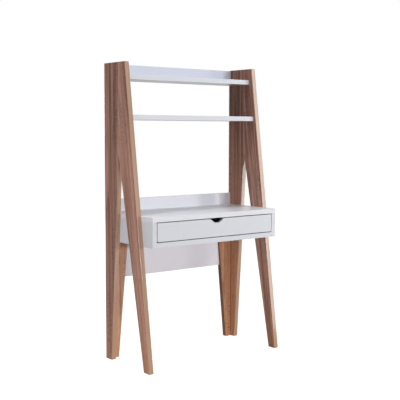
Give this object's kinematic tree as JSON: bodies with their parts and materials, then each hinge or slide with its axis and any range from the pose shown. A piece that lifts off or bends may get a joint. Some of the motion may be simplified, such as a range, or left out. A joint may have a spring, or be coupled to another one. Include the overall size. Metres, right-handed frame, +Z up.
{
  "type": "ladder desk",
  "caption": "Tall free-standing ladder desk: forked wood-look side frames carry white shelves, a white back and a white desk box with an inset drawer on roller runners.",
  "frame": {"origin": "on the floor, under the middle of the outside box", "axes": "+X to the right as seen from the front, +Y to the back, +Z up"},
  "size_m": [0.85, 0.3959, 1.52],
  "materials": {
    "wood_laminate": "satin wood-grain laminate",
    "white_laminate": "satin white laminate",
    "thin_board": "white-faced thin board",
    "beech": "raw",
    "runner_paint": "powder coat",
    "roller_nylon": "moulded",
    "cam_zinc": "die-cast zinc",
    "fastener_steel": "zinc plated",
    "glide_plastic": "moulded"
  },
  "bodies": {
    "frame": {"back_tongues": "beech", "desk_back_board": "white_laminate", "desk_bottom": "white_laminate", "desk_cam_bolts": "fastener_steel", "desk_cam_locks": "cam_zinc", "desk_left_side": "white_laminate", "desk_right_side": "white_laminate", "desk_top": "white_laminate", "fixed_axles": "fastener_steel", "foot_glides": "glide_plastic", "left_fixed_runner": "runner_paint", "left_front_leg": "wood_laminate", "left_leg_return": "wood_laminate", "left_rear_post": "wood_laminate", "left_return_tongue": "beech", "left_seam_tongue": "beech", "leg_screws": "fastener_steel", "middle_shelf": "white_laminate", "modesty_panel": "white_laminate", "right_fixed_runner": "runner_paint", "right_front_leg": "wood_laminate", "right_leg_return": "wood_laminate", "right_rear_post": "wood_laminate", "right_return_tongue": "beech", "right_seam_tongue": "beech", "shelf_cam_bolts": "fastener_steel", "shelf_cam_locks": "cam_zinc", "top_back_rail": "white_laminate", "top_shelf": "white_laminate"},
    "drawer": {"drawer_front": "white_laminate", "drawer_left_side": "white_laminate", "drawer_right_side": "white_laminate", "drawer_back": "white_laminate", "drawer_bottom": "thin_board", "drawer_dowels": "beech", "left_drawer_runner": "runner_paint", "right_drawer_runner": "runner_paint", "drawer_axles": "fastener_steel"},
    "left_front_roller": {"left_front_roller": "roller_nylon"},
    "right_front_roller": {"right_front_roller": "roller_nylon"},
    "left_rear_roller": {"left_rear_roller": "roller_nylon"},
    "right_rear_roller": {"right_rear_roller": "roller_nylon"}
  },
  "joints": [
    {"name": "drawer_slide", "type": "slide", "parent": "frame", "child": "drawer", "axis": [0, -1, 0], "range_m": [0, 0.26]},
    {"name": "left_front_roller_turn", "type": "hinge", "parent": "frame", "child": "left_front_roller", "pos_m": [-0.3691, -0.161, 0.6593], "axis": [1, 0, 0], "range_deg": [0, 1500]},
    {"name": "right_front_roller_turn", "type": "hinge", "parent": "frame", "child": "right_front_roller", "pos_m": [0.3691, -0.161, 0.6593], "axis": [1, 0, 0], "range_deg": [0, 1500]},
    {"name": "left_rear_roller_turn", "type": "hinge", "parent": "drawer", "child": "left_rear_roller", "pos_m": [-0.3691, 0.158, 0.6593], "axis": [1, 0, 0], "range_deg": [0, 1500]},
    {"name": "right_rear_roller_turn", "type": "hinge", "parent": "drawer", "child": "right_rear_roller", "pos_m": [0.3691, 0.158, 0.6593], "axis": [1, 0, 0], "range_deg": [0, 1500]}
  ],
  "couplings": [
    {"joint": "left_front_roller_turn", "follows": "drawer_slide", "rad_per_m": 100},
    {"joint": "right_front_roller_turn", "follows": "drawer_slide", "rad_per_m": 100},
    {"joint": "left_rear_roller_turn", "follows": "drawer_slide", "rad_per_m": 100},
    {"joint": "right_rear_roller_turn", "follows": "drawer_slide", "rad_per_m": 100}
  ]
}
